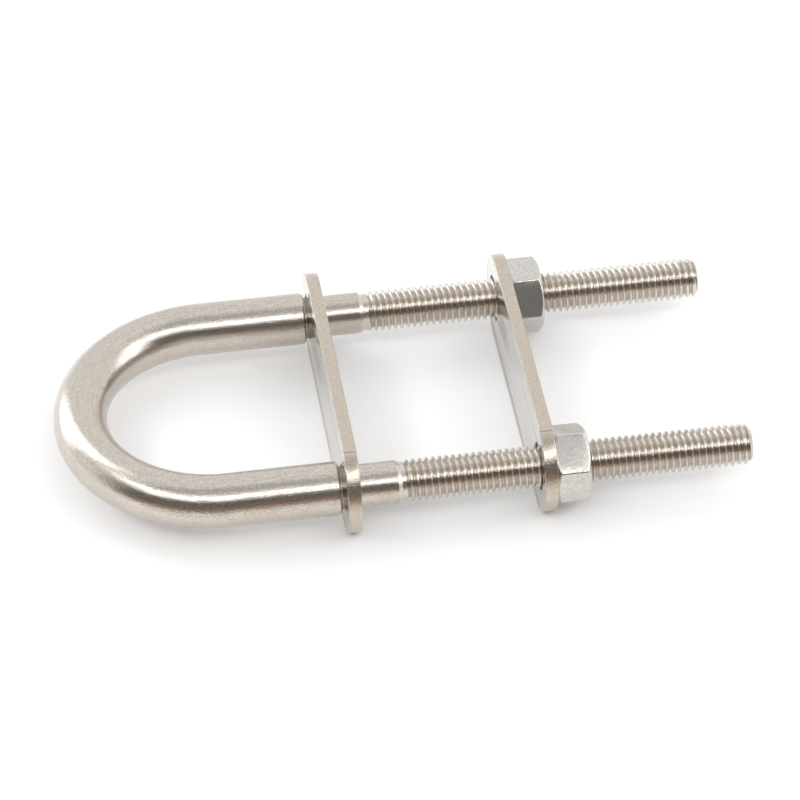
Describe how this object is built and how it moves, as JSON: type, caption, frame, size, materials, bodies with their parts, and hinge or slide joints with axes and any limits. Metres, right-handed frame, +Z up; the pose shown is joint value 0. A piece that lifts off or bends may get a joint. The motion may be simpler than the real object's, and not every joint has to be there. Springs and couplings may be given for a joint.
{
  "type": "u-bolt",
  "caption": "Stainless U-bolt: thick bow stepped down to threaded legs, with front and backing plates of oblong shape held by hex nuts.",
  "frame": {"origin": "on the surface the part lies on, below the middle of its overall length and width", "axes": "+X along the legs from the bow to the threaded tips, +Y across the legs, +Z up from the surface"},
  "size_m": [0.1274, 0.066, 0.019],
  "materials": {
    "rod_steel": "polished stainless steel with fine pitting and drawn marks",
    "plate_steel": "polished faces, matt blanked edges",
    "nut_steel": "satin stainless steel"
  },
  "bodies": {
    "rod": {"u_rod": "rod_steel"},
    "front_plate": {"front_plate": "plate_steel"},
    "rear_plate": {"rear_plate": "plate_steel"},
    "nut_left": {"nut_left": "nut_steel"},
    "nut_right": {"nut_right": "nut_steel"}
  },
  "joints": [
    {"name": "front_plate_slide", "type": "slide", "parent": "rod", "child": "front_plate", "axis": [1, 0, 0], "range_m": [-0.00065, 0.0076]},
    {"name": "rear_plate_slide", "type": "slide", "parent": "rod", "child": "rear_plate", "axis": [1, 0, 0], "range_m": [-0.02601, 0.03001]},
    {"name": "nut_left_spin", "type": "hinge", "parent": "rear_plate", "child": "nut_left", "pos_m": [0.02637, 0.025, 0.0095], "axis": [1, 0, 0], "range_deg": [-7488, 8640]},
    {"name": "nut_right_spin", "type": "hinge", "parent": "rear_plate", "child": "nut_right", "pos_m": [0.02637, -0.025, 0.0095], "axis": [1, 0, 0], "range_deg": [-7490, 8642]}
  ],
  "couplings": [
    {"joint": "rear_plate_slide", "follows": "nut_left_spin", "m_per_rad": 0.00019894},
    {"joint": "nut_right_spin", "follows": "nut_left_spin", "ratio": 1}
  ]
}
